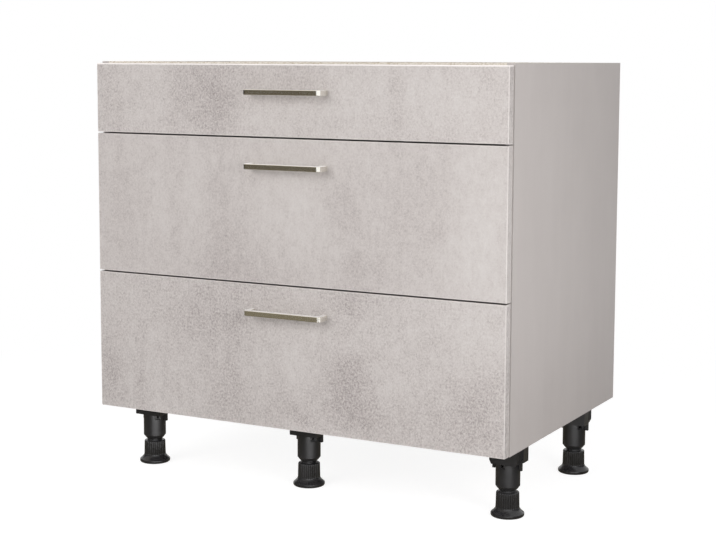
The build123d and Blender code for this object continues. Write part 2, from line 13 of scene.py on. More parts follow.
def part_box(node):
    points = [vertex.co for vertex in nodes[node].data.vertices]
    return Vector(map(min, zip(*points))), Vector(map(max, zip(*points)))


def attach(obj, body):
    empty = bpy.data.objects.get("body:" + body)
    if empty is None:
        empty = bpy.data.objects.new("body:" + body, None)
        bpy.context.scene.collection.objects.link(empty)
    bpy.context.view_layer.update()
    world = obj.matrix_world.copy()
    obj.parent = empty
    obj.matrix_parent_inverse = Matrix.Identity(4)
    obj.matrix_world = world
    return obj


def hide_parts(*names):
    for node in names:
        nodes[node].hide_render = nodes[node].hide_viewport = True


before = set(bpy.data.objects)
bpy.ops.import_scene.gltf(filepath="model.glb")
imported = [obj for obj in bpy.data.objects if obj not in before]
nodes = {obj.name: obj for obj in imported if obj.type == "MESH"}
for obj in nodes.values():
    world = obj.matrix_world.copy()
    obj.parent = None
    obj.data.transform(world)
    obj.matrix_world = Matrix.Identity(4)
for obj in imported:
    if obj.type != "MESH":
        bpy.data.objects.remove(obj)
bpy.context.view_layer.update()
MM = 0.001
LEVELS = ("bottom", "middle", "top")
WHITE = (1, 1, 1, 1)


# ---------------------------------------------------------------------------------------
# Camera
# ---------------------------------------------------------------------------------------
IMAGE_WIDTH = 716                       # pixels
FOCAL_PIXELS = 1531.3
SENSOR_WIDTH = 36.0                     # millimetres
CAMERA_PLACE = (1.4849, -2.7530, 0.8525)
CAMERA_YAW = math.radians(-28.331)      # to the left of straight ahead
CAMERA_PITCH = math.radians(-6.287)     # below level
CAMERA_ROLL = math.radians(0.198)
CAMERA_SHIFT_Y = -0.06                  # the photograph's centre lies below the point looked at


def make_camera():
    """A camera at the photograph's place, with its own right, up and back directions."""
    ahead = Vector((math.sin(CAMERA_YAW) * math.cos(CAMERA_PITCH),
                    math.cos(CAMERA_YAW) * math.cos(CAMERA_PITCH),
                    math.sin(CAMERA_PITCH)))
    level_right = Vector((math.cos(CAMERA_YAW), -math.sin(CAMERA_YAW), 0))
    level_up = level_right.cross(ahead)
    right = level_right * math.cos(CAMERA_ROLL) + level_up * math.sin(CAMERA_ROLL)
    up = level_up * math.cos(CAMERA_ROLL) - level_right * math.sin(CAMERA_ROLL)
    data = bpy.data.cameras.new("camera")
    data.sensor_width = SENSOR_WIDTH
    data.lens = FOCAL_PIXELS * SENSOR_WIDTH / IMAGE_WIDTH
    data.shift_y = CAMERA_SHIFT_Y
    camera = bpy.data.objects.new("camera", data)
    bpy.context.scene.collection.objects.link(camera)
    turn = Matrix((right, up, -ahead)).transposed().to_4x4()
    camera.matrix_world = Matrix.Translation(CAMERA_PLACE) @ turn
    bpy.context.scene.camera = camera


# ---------------------------------------------------------------------------------------
# Node helpers
# ---------------------------------------------------------------------------------------
def srgb(red, green, blue):
    """A colour given in the 0 to 255 scale of a picture, as the linear colour a socket takes."""
    shares = np.array((red, green, blue)) / 255
    linear = np.where(shares <= 0.04045, shares / 12.92, ((shares + 0.055) / 1.055) ** 2.4)
    return (*map(float, linear), 1.0)


class Graph:
    """Adds nodes to one node tree and joins them."""

    def __init__(self, tree):
        self.tree = tree

    def set(self, node, socket, value):
        """Joins an output to a socket, or sets the socket's own value."""
        target = node.inputs[socket]
        if isinstance(value, bpy.types.NodeSocket):
            self.tree.links.new(value, target)
        else:
            target.default_value = value

    def node(self, kind, values=None, **settings):
        """A node with its settings, and with values for its sockets."""
        made = self.tree.nodes.new(kind)
        for name, value in settings.items():
            setattr(made, name, value)
        for socket, value in (values or {}).items():
            self.set(made, socket, value)
        return made

    def math(self, operation, *operands):
        """One sum on numbers."""
        return self.node("ShaderNodeMath", dict(enumerate(operands)), operation=operation).outputs[0]

    def add_share(self, base, value, share):
        """base plus a share of value."""
        return self.math("MULTIPLY_ADD", value, share, base)

    def vector(self, operation, *operands):
        """One sum on vectors."""
        made = self.node("ShaderNodeVectorMath", dict(enumerate(operands)), operation=operation)
        return made.outputs[1 if operation == "LENGTH" else 0]

    def mix(self, factor, first, second):
        """The first colour where factor is 0, turning into the second where it is 1."""
        return self.node("ShaderNodeMix", {0: factor, 6: first, 7: second}, data_type="RGBA").outputs[2]

    def step(self, value, low, high, to_low=0.0, to_high=1.0):
        """A smooth change from to_low at low to to_high at high."""
        made = self.node("ShaderNodeMapRange", {"Value": value, "From Min": low, "From Max": high,
                                                "To Min": to_low, "To Max": to_high},
                         interpolation_type="SMOOTHSTEP")
        return made.outputs[0]

    def noise(self, place, scale, detail=2.0, roughness=0.5, stretch=(1, 1, 1)):
        """Smooth noise from 0 to 1, drawn out along an axis where stretch is below 1."""
        mapped = self.node("ShaderNodeMapping", {"Vector": place, "Scale": stretch})
        made = self.node("ShaderNodeTexNoise", {"Vector": mapped.outputs[0], "Scale": scale,
                                                "Detail": detail, "Roughness": roughness})
        return made.outputs[0]

    def group(self, tree, values):
        """The outputs of a shared effect."""
        return self.node("ShaderNodeGroup", values, node_tree=tree).outputs

    def place(self):
        """The place on the piece."""
        return self.node("ShaderNodeTexCoord").outputs["Object"]

    def axes(self, vector):
        """The three parts of a vector."""
        return self.node("ShaderNodeSeparateXYZ", {0: vector}).outputs

    def faces_along(self, axis, sign=0):
        """1 on faces that look along axis 0, 1 or 2: both ways, or only the way of the sign."""
        part = self.axes(self.node("ShaderNodeNewGeometry").outputs["True Normal"])[axis]
        if sign:
            towards = self.math("MULTIPLY", part, sign)
        else:
            towards = self.math("ABSOLUTE", part)
        return self.step(towards, 0.5, 0.6)


def new_group(name, inputs, outputs):
    """An empty node group with named sockets, and the graph, inputs and output node inside it."""
    tree = bpy.data.node_groups.new(name, "ShaderNodeTree")
    for direction, sockets in (("INPUT", inputs), ("OUTPUT", outputs)):
        for label, kind in sockets.items():
            tree.interface.new_socket(label, in_out=direction, socket_type="NodeSocket" + kind)
    graph = Graph(tree)
    return tree, graph, graph.node("NodeGroupInput").outputs, graph.node("NodeGroupOutput")


def new_material(name):
    """An empty surface with its graph and its shader."""
    material = bpy.data.materials.new(name)
    material.use_nodes = True
    graph = Graph(material.node_tree)
    return material, graph, material.node_tree.nodes["Principled BSDF"]


def finish_with(graph, shader, values, height, depth, strength):
    """Sets the shader's sockets, and a bump of some depth from a height from 0 to 1."""
    for socket, value in values.items():
        graph.set(shader, socket, value)
    bump = graph.node("ShaderNodeBump", {"Height": height, "Distance": depth, "Strength": strength})
    graph.set(shader, "Normal", bump.outputs[0])


# ---------------------------------------------------------------------------------------
# Shared effects
# ---------------------------------------------------------------------------------------
DECOR_DARK = srgb(171, 163, 161)
DECOR_MIDDLE = srgb(195, 188, 185)
DECOR_LIGHT = srgb(209, 204, 201)
DECOR_SPECK = srgb(142, 134, 132)
SPECK_STRENGTH = 0.7
CHIP_DARK = srgb(221, 213, 201)
CHIP_LIGHT = srgb(238, 232, 223)
CHIP_EDGE = srgb(200, 187, 167)
CHIP_BEND = 1.6                         # how far a chip's outline wanders, in chips
NOISE_SPAN = (0.3, 0.7)                 # most values of smooth noise lie between these


def make_soft_patch():
    """A round cloud that fades out: the natural power of minus the squared distance over its reach."""
    tree, graph, given, result = new_group(
        "soft_patch", {"Place": "Vector", "Centre": "Vector", "Reach": "Vector", "Amount": "Float"},
        {"Value": "Float"})
    offset = graph.vector("SUBTRACT", given["Place"], given["Centre"])
    distance = graph.vector("LENGTH", graph.vector("DIVIDE", offset, given["Reach"]))
    fall = graph.math("EXPONENT", graph.math("MULTIPLY", graph.math("POWER", distance, 2.0), -1.0))
    graph.set(result, "Value", graph.math("MULTIPLY", fall, given["Amount"]))
    return tree


def make_arris():
    """A mask along the edges of a box: the middle one of the three distances to its faces is small."""
    tree, graph, given, result = new_group(
        "arris", {"Place": "Vector", "Low": "Vector", "High": "Vector", "Width": "Float"},
        {"Mask": "Float"})
    inside = graph.vector("MINIMUM", graph.vector("SUBTRACT", given["Place"], given["Low"]),
                          graph.vector("SUBTRACT", given["High"], given["Place"]))
    x, y, z = graph.axes(inside)
    lesser = graph.math("MINIMUM", x, y)
    greater = graph.math("MAXIMUM", x, y)
    middle = graph.math("MAXIMUM", lesser, graph.math("MINIMUM", greater, z))
    graph.set(result, "Mask", graph.step(middle, given["Width"], 0.0))
    return tree


def make_mottle():
    """Clouds, blotches, upright streaks and grains of a printed stone decor, each from -0.5 to 0.5."""
    tree, graph, given, result = new_group(
        "mottle", {"Place": "Vector"},
        {"Cloud": "Float", "Blotch": "Float", "Streak": "Float", "Grain": "Float"})
    place = given["Place"]
    layers = {
        "Cloud": graph.noise(place, scale=9.0, detail=3.0, roughness=0.6, stretch=(1, 1, 0.6)),
        "Blotch": graph.noise(place, scale=60.0, detail=4.0, roughness=0.85, stretch=(1, 1, 0.75)),
        "Streak": graph.noise(place, scale=55.0, detail=3.0, roughness=0.6, stretch=(1, 1, 0.05)),
        "Grain": graph.noise(place, scale=260.0, detail=3.0, roughness=0.85, stretch=(1, 1, 0.85)),
    }
    for label, layer in layers.items():
        graph.set(result, label, graph.math("SUBTRACT", layer, 0.5))
    return tree


def make_decor():
    """The printed colour for a tone from 0 to 1, dark to light. Grains show most where it is dark."""
    tree, graph, given, result = new_group(
        "decor", {"Tone": "Float", "Grain": "Float", "Grain Amount": "Float"}, {"Color": "Color"})
    darkness = graph.step(given["Tone"], low=0.95, high=0.1, to_low=0.5, to_high=1.6)
    weighed_grain = graph.math("MULTIPLY", given["Grain"], darkness)
    grained = graph.add_share(given["Tone"], weighed_grain, given["Grain Amount"])
    lower_half = graph.math("MULTIPLY", grained, 2.0)
    upper_half = graph.math("MULTIPLY_ADD", grained, 2.0, -1.0)
    colour = graph.mix(upper_half, graph.mix(lower_half, DECOR_DARK, DECOR_MIDDLE), DECOR_LIGHT)
    speck = graph.math("MULTIPLY", graph.step(grained, low=0.08, high=-0.35), SPECK_STRENGTH)
    graph.set(result, "Color", graph.mix(speck, colour, DECOR_SPECK))
    return tree


def make_chips():
    """Pressed wood chips: the colour and the height of cells of the size given, with bent outlines."""
    tree, graph, given, result = new_group(
        "chips", {"Place": "Vector", "Size": "Vector"}, {"Color": "Color", "Height": "Float"})
    wander = graph.vector("MULTIPLY", graph.noise(given["Place"], scale=300.0), (CHIP_BEND,) * 3)
    in_chips = graph.vector("DIVIDE", given["Place"], given["Size"])
    cells = graph.node("ShaderNodeTexVoronoi", {"Vector": graph.vector("ADD", in_chips, wander),
                                                "Scale": 1.0})
    tone = graph.axes(cells.outputs["Color"])[0]
    edge = graph.step(cells.outputs["Distance"], low=0.45, high=0.9)
    graph.set(result, "Color", graph.mix(edge, graph.mix(tone, CHIP_DARK, CHIP_LIGHT), CHIP_EDGE))
    graph.set(result, "Height", graph.math("SUBTRACT", 1.0, edge))
    return tree


def make_fine_grain():
    """Fine grains of a moulded or sprayed surface, with slow changes in tone."""
    tree, graph, given, result = new_group(
        "fine_grain", {"Place": "Vector", "Scale": "Float"}, {"Height": "Float", "Tone": "Float"})
    graph.set(result, "Height", graph.noise(given["Place"], given["Scale"], roughness=0.6))
    graph.set(result, "Tone", graph.noise(given["Place"], scale=24.0, detail=3.0, roughness=0.6))
    return tree


SOFT_PATCH = make_soft_patch()
ARRIS = make_arris()
MOTTLE = make_mottle()
DECOR = make_decor()
CHIPS = make_chips()
FINE_GRAIN = make_fine_grain()


# ---------------------------------------------------------------------------------------
# Boards
# ---------------------------------------------------------------------------------------
# Clouds on the fronts: distance from the left edge, distance down from the top, half width,
# half height, all in millimetres, and how much lighter (above 0) or darker the cloud is.
FRONTS_LEFT = -448
FRONTS_TOP = 842
CLOUDS = (
    (290, 80, 50, 55, -1.0), (225, 70, 55, 70, -0.5), (440, 20, 95, 32, -0.5), (250, 15, 70, 25, -0.3),
    (40, 70, 25, 70, -0.3), (120, 70, 60, 80, 0.25), (580, 60, 60, 90, 0.4), (672, 70, 26, 90, -0.4),
    (770, 70, 75, 90, 0.45), (560, 110, 30, 25, -0.4),
    (70, 280, 60, 150, -0.25), (188, 280, 13, 150, -0.3), (230, 250, 30, 130, 0.2),
    (300, 320, 40, 120, -0.5), (350, 400, 85, 42, -0.5), (440, 260, 95, 100, 0.4),
    (572, 265, 28, 70, -0.4), (710, 265, 75, 70, -0.4), (610, 380, 55, 40, -0.5),
    (850, 260, 55, 150, 0.6), (840, 370, 60, 45, 0.3),
    (255, 495, 80, 70, -0.5), (332, 505, 28, 35, -0.6), (25, 620, 30, 70, -0.8),
    (100, 630, 11, 75, -0.5), (315, 640, 55, 75, -0.6), (450, 570, 75, 65, 0.2),
    (580, 590, 42, 52, -0.9), (600, 655, 120, 38, -0.8), (455, 665, 50, 30, -0.6),
    (670, 560, 50, 100, 0.3), (840, 485, 55, 60, 0.4), (840, 635, 60, 70, -0.7),
    (575, 445, 50, 32, -0.8),
)
CLOUD_STRENGTH = 0.34
CLOUD_WANDER = (0.07, 0.0, 0.10)        # how far noise moves the print, for ragged clouds
FRONT_TONE = 0.5
PRINT_SHARES = {"Cloud": 0.35, "Blotch": 1.05, "Streak": 0.18}
FRONT_GRAIN = {"drawer_front_top": 2.3, "drawer_front_middle": 1.5, "drawer_front_bottom": 2.5}
# Painted highlight: the arrises round each front are painted paler, where light catches their rounding.
ARRIS_HIGHLIGHT_WIDTH = 2.0                       # millimetres
ARRIS_HIGHLIGHT_STRENGTH = 0.75
ARRIS_HIGHLIGHT_COLOUR = srgb(238, 232, 229)
# Painted shade on the fronts' upper and lower edges, where the gaps between the fronts are shaded.
LEVEL_EDGE_SHADE_COLOUR = srgb(140, 132, 128)
# The upper edge of the top front carries a painted highlight, a white line, which starts and is full at
# these distances below the front's top, in millimetres.
LIT_FRONT = "drawer_front_top"
LIT_EDGE_START = 3.4
LIT_EDGE_FULL = 1.0
LIT_EDGE_STRENGTH = 0.95
LIT_EDGE_COLOUR = srgb(255, 249, 246)
LAMINATE_SPECULAR = 0.35
BOARD_TONE = 0.47
BOARD_CLOUD_SHARE = 0.22
BOARD_STREAK_SHARE = 0.08
BOARD_GRAIN = 0.12
LAMINATE_ROUGHNESS = 0.55
HARDBOARD_ROUGHNESS = 0.85
CHIP_ROUGHNESS = 0.9
CHIP_SIZE = (0.0035, 0.0035, 0.0018)


def front_clouds(graph, place):
    """The tone of the clouds: the middle tone, plus a soft patch for each cloud in the list."""
    drift = graph.node("ShaderNodeTexNoise", {"Vector": place, "Scale": 16.0, "Detail": 6.0,
                                              "Roughness": 0.68}).outputs["Color"]
    centred = graph.vector("SUBTRACT", drift, (0.5, 0.5, 0.5))
    warped = graph.vector("ADD", place, graph.vector("MULTIPLY", centred, CLOUD_WANDER))
    on_print = graph.vector("MULTIPLY", warped, (1, 0, 1))
    tone = FRONT_TONE
    for across, down, half_width, half_height, amount in CLOUDS:
        centre = ((FRONTS_LEFT + across) * MM, 0.0, (FRONTS_TOP - down) * MM)
        cloud = graph.group(SOFT_PATCH, {"Place": on_print, "Centre": centre,
                                         "Reach": (half_width * MM, 1.0, half_height * MM),
                                         "Amount": CLOUD_STRENGTH * amount})
        tone = graph.math("ADD", cloud["Value"], tone)
    return tone


def front_laminate(node):
    """Stone decor of a drawer front, with its clouds, a painted highlight on its arrises and painted shade
    on its upper and lower edges.
    """
    material, graph, shader = new_material("front_laminate_" + node)
    place = graph.place()
    mottle = graph.group(MOTTLE, {"Place": place})
    tone = front_clouds(graph, place)
    for layer, share in PRINT_SHARES.items():
        tone = graph.add_share(tone, mottle[layer], share)
    colour = graph.group(DECOR, {"Tone": tone, "Grain": mottle["Grain"],
                                 "Grain Amount": FRONT_GRAIN[node]})["Color"]
    # Painted shade on the level faces, the fronts' upper and lower edges.
    colour = graph.mix(graph.faces_along(2), colour, LEVEL_EDGE_SHADE_COLOUR)
    low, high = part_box(node)
    arris = graph.group(ARRIS, {"Place": place, "Low": low, "High": high, "Width": ARRIS_HIGHLIGHT_WIDTH * MM})
    # Painted highlight along the front's arrises.
    colour = graph.mix(graph.math("MULTIPLY", arris["Mask"], ARRIS_HIGHLIGHT_STRENGTH), colour, ARRIS_HIGHLIGHT_COLOUR)
    # Painted highlight: a white line along the top front's upper edge, where light from above catches it.
    if node == LIT_FRONT:
        lit = graph.step(graph.axes(place)[2], high.z - LIT_EDGE_START * MM, high.z - LIT_EDGE_FULL * MM,
                         to_high=LIT_EDGE_STRENGTH)
        colour = graph.mix(lit, colour, LIT_EDGE_COLOUR)
    roughness = graph.step(mottle["Cloud"], low=-0.4, high=0.4, to_low=0.5, to_high=0.62)
    finish_with(graph, shader, {"Base Color": colour, "Roughness": roughness,
                                "Specular IOR Level": LAMINATE_SPECULAR},
                height=mottle["Grain"], depth=0.15 * MM, strength=0.35)
    return material


def plain_laminate(graph, mottle, tone, cloud_share):
    """The colour of a laminate with little print, from its mean tone and the strength of its clouds."""
    clouded = graph.add_share(tone, mottle["Cloud"], cloud_share)
    return graph.group(DECOR, {"Tone": clouded, "Grain": mottle["Grain"],
                               "Grain Amount": BOARD_GRAIN})["Color"]


def laminated_board(name, thickness_axis):
    """Laminated chipboard. Its two wide faces and its front edge are covered, other cuts show chips."""
    material, graph, shader = new_material(name)
    place = graph.place()
    mottle = graph.group(MOTTLE, {"Place": place})
    streaked = graph.add_share(BOARD_TONE, mottle["Streak"], BOARD_STREAK_SHARE)
    laminate = plain_laminate(graph, mottle, streaked, BOARD_CLOUD_SHARE)
    chips = graph.group(CHIPS, {"Place": place, "Size": CHIP_SIZE})
    covered = graph.math("MAXIMUM", graph.faces_along(thickness_axis), graph.faces_along(1, -1))
    roughness = graph.add_share(CHIP_ROUGHNESS, covered, LAMINATE_ROUGHNESS - CHIP_ROUGHNESS)
    finish_with(graph, shader, {"Base Color": graph.mix(covered, chips["Color"], laminate),
                                "Roughness": roughness, "Specular IOR Level": LAMINATE_SPECULAR},
                height=graph.math("MAXIMUM", covered, chips["Height"]), depth=0.4 * MM, strength=0.6)
    return material


def raw_board():
    """Bare chipboard of the cross rails."""
    material, graph, shader = new_material("rail_board")
    chips = graph.group(CHIPS, {"Place": graph.place(), "Size": CHIP_SIZE})
    finish_with(graph, shader, {"Base Color": chips["Color"], "Roughness": CHIP_ROUGHNESS,
                                "Specular IOR Level": LAMINATE_SPECULAR},
                height=chips["Height"], depth=0.4 * MM, strength=0.6)
    return material


def hardboard():
    """Thin fibre board: smooth and light inside, brown with fibres behind."""
    material, graph, shader = new_material("back_board")
    place = graph.place()
    fibres = graph.noise(place, scale=160.0, detail=4.0, roughness=0.7, stretch=(1, 1, 0.4))
    fleck = graph.noise(place, scale=700.0, roughness=0.6, stretch=(0.5, 1, 1))
    brown = graph.mix(fibres, srgb(150, 120, 88), srgb(184, 154, 118))
    brown = graph.mix(graph.step(fleck, low=0.6, high=0.75), brown, srgb(126, 98, 70))
    mottle = graph.group(MOTTLE, {"Place": place})
    light = plain_laminate(graph, mottle, tone=0.6, cloud_share=0.4)
    inside = graph.faces_along(1, -1)
    roughness = graph.add_share(HARDBOARD_ROUGHNESS, inside, LAMINATE_ROUGHNESS - HARDBOARD_ROUGHNESS)
    finish_with(graph, shader, {"Base Color": graph.mix(inside, brown, light),
                                "Roughness": roughness},
                height=fibres, depth=0.3 * MM, strength=0.5)
    return material


def beech():
    """Turned beech of the dowels, with short dark flecks along the grain."""
    material, graph, shader = new_material("dowel_wood")
    place = graph.place()
    grain = graph.noise(place, scale=500.0, detail=3.0, roughness=0.6, stretch=(0.08, 1, 1))
    fleck = graph.noise(place, scale=900.0, stretch=(0.25, 1, 1))
    colour = graph.mix(grain, srgb(196, 154, 108), srgb(224, 188, 143))
    colour = graph.mix(graph.step(fleck, low=0.62, high=0.72), colour, srgb(150, 106, 68))
    roughness = graph.step(grain, low=0.2, high=0.8, to_low=0.55, to_high=0.7)
    finish_with(graph, shader, {"Base Color": colour, "Roughness": roughness},
                height=grain, depth=0.2 * MM, strength=0.6)
    return material


# ---------------------------------------------------------------------------------------
# Metals and plastics
# ---------------------------------------------------------------------------------------
def brushed_handle():
    """Brushed metal with fine scratches along the bar."""
    material, graph, shader = new_material("handle_metal")
    place = graph.place()
    scratch = graph.noise(place, scale=2600.0, roughness=0.7, stretch=(0.02, 1, 1))
    cloud = graph.noise(place, scale=40.0, detail=3.0, roughness=0.6, stretch=(0.4, 1, 1))
    colour = graph.mix(graph.step(cloud, *NOISE_SPAN), srgb(243, 239, 230), srgb(250, 248, 241))
    roughness = graph.step(scratch, *NOISE_SPAN, to_low=0.13, to_high=0.21)
    finish_with(graph, shader, {"Base Color": colour, "Metallic": 1.0, "Roughness": roughness,
                                "Sheen Weight": 0.8, "Sheen Roughness": 0.4},
                height=scratch, depth=0.03 * MM, strength=0.25)
    return material


def grained(name, scale, colours, roughness, depth, strength, rough_by="Height", fixed=None):
    """A finish with fine grains: colours and roughness are pairs, for a low and a high value.

    The colour follows the grain's tone, and the roughness follows its output rough_by. fixed holds
    the sockets that are the same all over."""
    material, graph, shader = new_material(name)
    grain = graph.group(FINE_GRAIN, {"Place": graph.place(), "Scale": scale})
    finish_with(graph, shader, {"Base Color": graph.mix(grain["Tone"], *colours),
                                "Roughness": graph.step(grain[rough_by], *NOISE_SPAN, *roughness),
                                **(fixed or {})},
                height=grain["Height"], depth=depth, strength=strength)
    return material


def zinc_fitting():
    """Zinc-plated fittings: bluish grey with cloudy patches."""
    return grained("fitting_metal", scale=1800.0, colours=(srgb(150, 152, 156), srgb(201, 202, 203)),
                   roughness=(0.28, 0.45), depth=0.05 * MM, strength=0.4, rough_by="Tone",
                   fixed={"Metallic": 1.0})


def coated_steel():
    """Powder-coated steel of the runners and drawer sides, with the coat's orange peel."""
    return grained("runner_steel", scale=900.0, colours=(srgb(219, 219, 217), srgb(232, 232, 230)),
                   roughness=(0.38, 0.48), depth=0.08 * MM, strength=0.35, rough_by="Tone")


def drawer_board():
    """White-faced boards of the drawers."""
    return grained("drawer_board", scale=700.0, colours=(srgb(221, 219, 214), srgb(236, 234, 230)),
                   roughness=(0.5, 0.62), depth=0.1 * MM, strength=0.35)


def roller_nylon():
    """Off-white nylon of the rollers, which lets a little light in."""
    return grained("roller_nylon", scale=1500.0, colours=(srgb(222, 220, 210), srgb(240, 238, 230)),
                   roughness=(0.34, 0.46), depth=0.04 * MM, strength=0.3,
                   fixed={"Subsurface Weight": 0.12})


def buffer_rubber():
    """Soft light grey buffers."""
    return grained("buffer_rubber", scale=1200.0, colours=(srgb(196, 196, 194), srgb(216, 216, 214)),
                   roughness=(0.4, 0.55), depth=0.05 * MM, strength=0.3,
                   fixed={"Subsurface Weight": 0.2})


def leg_plastic(name, gloss, dull):
    """Charcoal moulded plastic with a fine spark-eroded grain."""
    return grained(name, scale=2200.0, colours=(srgb(32, 32, 34), srgb(46, 45, 47)),
                   roughness=(gloss, dull), depth=0.04 * MM, strength=0.5, rough_by="Tone")


def dress(material, *names):
    """Puts a material on CAD nodes."""
    for name in names:
        piece = nodes[name]
        if not piece.material_slots:
            piece.data.materials.append(material)
        for slot in piece.material_slots:
            slot.material = material


def dress_all(zinc):
    """Every CAD node gets its finish."""
    handle = brushed_handle()
    steel = coated_steel()
    nylon = roller_nylon()
    white = drawer_board()
    dress(laminated_board("carcass_laminate_upright", 0), "side_panel_left", "side_panel_right")
    dress(laminated_board("carcass_laminate_level", 2), "bottom_panel")
    dress(raw_board(), "top_rail_front", "top_rail_back")
    dress(hardboard(), "back_panel")
    dress(beech(), "wood_dowels")
    dress(buffer_rubber(), "front_buffers")
    dress(zinc, "cam_housings", "cam_bolts", "runner_screws")
    dress(leg_plastic("leg_plastic", gloss=0.36, dull=0.5), "leg_sockets",
          *(name for name in nodes if name.startswith("leg_tube_")))
    for level in LEVELS:
        dress(front_laminate(f"drawer_front_{level}"), f"drawer_front_{level}")
        dress(handle, f"handle_{level}")
        dress(zinc, f"handle_screws_{level}")
        dress(nylon, f"cabinet_rollers_{level}", f"drawer_rollers_{level}")
        dress(steel, *(f"{kind}_{side}_{level}" for kind in ("cabinet_runner", "drawer_side")
                       for side in ("left", "right")))
        dress(white, f"drawer_floor_{level}", f"drawer_back_{level}")
    dress(steel, "gallery_rods_bottom", "gallery_rods_middle")


# ---------------------------------------------------------------------------------------
# Surfaces of the pieces formed in detail
# ---------------------------------------------------------------------------------------
def mesh_piece(name, points, faces, material, body, slot, replaced=()):
    """A piece from its points and faces, in place, riding on a body."""
    mesh = bpy.data.meshes.new(name)
    mesh.from_pydata(points.tolist(), [], faces)
    mesh.polygons.foreach_set("use_smooth", np.ones(len(mesh.polygons), dtype=bool))
    mesh.materials.append(material)
    mesh.update()
    piece = bpy.data.objects.new(name, mesh)
    bpy.context.scene.collection.objects.link(piece)
    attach(piece, body)
    if replaced:
        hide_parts(*replaced)


def turned_surface(radii, heights, angles):
    """A closed surface round an upright axis.

    Point (i, j) lies at radius radii[i, j] and height heights[i, j], at angles[j] round the axis. Rows
    run up the outside and down the inside, and one point closes the surface at each end."""
    x = radii * np.cos(angles)
    y = radii * np.sin(angles)
    z = np.broadcast_to(heights, radii.shape)
    grid = np.stack((x, y, z), axis=-1).reshape(-1, 3)
    ends = np.array(((0, 0, z[0].mean()), (0, 0, z[-1].mean())))
    points = np.concatenate((grid, ends))
    rows, columns = radii.shape
    index = np.arange(rows * columns).reshape(rows, columns)
    following = np.roll(index, -1, axis=1)
    sides = np.stack((index[:-1], following[:-1], following[1:], index[1:]), axis=-1).reshape(-1, 4)
    first = np.full(columns, rows * columns)
    start = np.stack((first, following[0], index[0]), axis=-1)
    end = np.stack((first + 1, index[-1], following[-1]), axis=-1)
    return points, sides.tolist() + start.tolist() + end.tolist()


def repeated(points, faces, turns, places):
    """One surface set down many times: each time its points are turned by a matrix, then moved."""
    copies = np.einsum("pj,nij->npi", points, np.array(turns)) + np.array(places)[:, None, :]
    shifts = range(0, len(points) * len(places), len(points))
    return copies.reshape(-1, 3), [[index + shift for index in face] for shift in shifts for face in faces]


def full_turn(count, start=0.0):
    """Angles evenly round a full turn. start is the first one's place, in steps."""
    return (np.arange(count) + start) * 2 * np.pi / count


# ---------------------------------------------------------------------------------------
# Feet, in millimetres
# ---------------------------------------------------------------------------------------
# Radius and height of the points up the sole, the rounded rim and the flare.
FOOT_BASE = ((27.0, 0.0), (28.0, 0.02), (29.6, 0.4), (30.9, 1.35), (31.55, 2.4), (31.75, 3.2),
             (31.75, 6.2), (31.5, 6.7), (30.4, 7.7), (28.4, 9.4), (26.3, 11.3), (24.5, 13.4),
             (23.4, 15.2), (22.9, 16.4), (22.7, 17.0))
FLARE_TOP = 16.5
SLEEVE_LOWER_RADIUS = 22.6
SLEEVE_TAPER = 0.8                      # from the flare's top to the sleeve's top
SLEEVE_TOP = 47.0
SLEEVE_ROUNDING_START = 45.0
SLEEVE_SHOULDER = ((20.4, 46.75), (19.4, SLEEVE_TOP), (17.4, SLEEVE_TOP))
RIB_COUNT = 28
RIB_DEPTH = 1.4
RIBS_LOW = 17.1
RIBS_LOW_FADE = 0.8
RIBS_HIGH = 46.9
RIBS_HIGH_FADE = 0.5
COLUMNS_PER_RIB = 8
SPINDLE_RADIUS = 16.5
SPINDLE_START = 47.3
SPINDLE_TOP = 102.0
SPINDLE_PLAIN_END = 1.0
THREAD_PITCH = 3.6
THREAD_DEPTH = 1.1
THREAD_ROW_HEIGHT = 0.45
BORE_RADIUS = 13.0
# Radius and height of the points over the spindle's rounded top and down its bore.
FOOT_BORE = ((15.4, SPINDLE_TOP - 0.6), (14.9, SPINDLE_TOP), (13.5, SPINDLE_TOP), (BORE_RADIUS, 101.5),
             (BORE_RADIUS, 60.0), (BORE_RADIUS, 18.0), (12.0, FLARE_TOP))


def sleeve_outline():
    """Radii and heights up the sleeve, with rows close together at both ends.

    The radius shrinks evenly with the height, and near the top by half the square of the height
    above the start of the rounding."""
    heights = np.concatenate(((17.4, 17.9, 18.5), np.linspace(19.5, 43.5, 9), (44.4, 45.1, 45.7, 46.2)))
    radii = SLEEVE_LOWER_RADIUS - SLEEVE_TAPER * (heights - FLARE_TOP) / (SLEEVE_TOP - FLARE_TOP)
    radii -= np.clip(heights - SLEEVE_ROUNDING_START, 0, None) ** 2 * 0.5
    return list(zip(radii, heights))


def foot_surface():
    """A screw foot round its own axis.

    The outline goes up the flared base, the ribbed sleeve and the threaded spindle, then down the
    bore. On the sleeve the radius drops between ribs by the rib depth times the sixth power of the
    cosine of half the rib count times the angle. On the spindle it drops by the thread depth times a
    triangular wave of the height in pitches less the angle in turns."""
    sleeve = sleeve_outline()
    spindle = [(SPINDLE_RADIUS, z) for z in np.arange(SPINDLE_START, SPINDLE_TOP - SPINDLE_PLAIN_END,
                                                      THREAD_ROW_HEIGHT)]
    below_spindle = [*FOOT_BASE, *sleeve, *SLEEVE_SHOULDER]
    outline = np.array(below_spindle + spindle + list(FOOT_BORE))
    angles = full_turn(RIB_COUNT * COLUMNS_PER_RIB)
    radii = np.repeat(outline[:, :1], len(angles), axis=1)
    z = outline[:, 1:]
    on_sleeve = (np.clip((z - RIBS_LOW) / RIBS_LOW_FADE, 0, 1)
                 * np.clip((RIBS_HIGH - z) / RIBS_HIGH_FADE, 0, 1))
    between_ribs = (0.5 + 0.5 * np.cos(RIB_COUNT * angles)) ** 3
    radii -= RIB_DEPTH * on_sleeve * between_ribs
    turns_up = (z / THREAD_PITCH - angles / (2 * np.pi)) % 1.0
    thread = slice(len(below_spindle), len(below_spindle) + len(spindle))
    radii[thread] -= THREAD_DEPTH * np.abs(2 * turns_up[thread] - 1)
    return turned_surface(radii, z, angles)


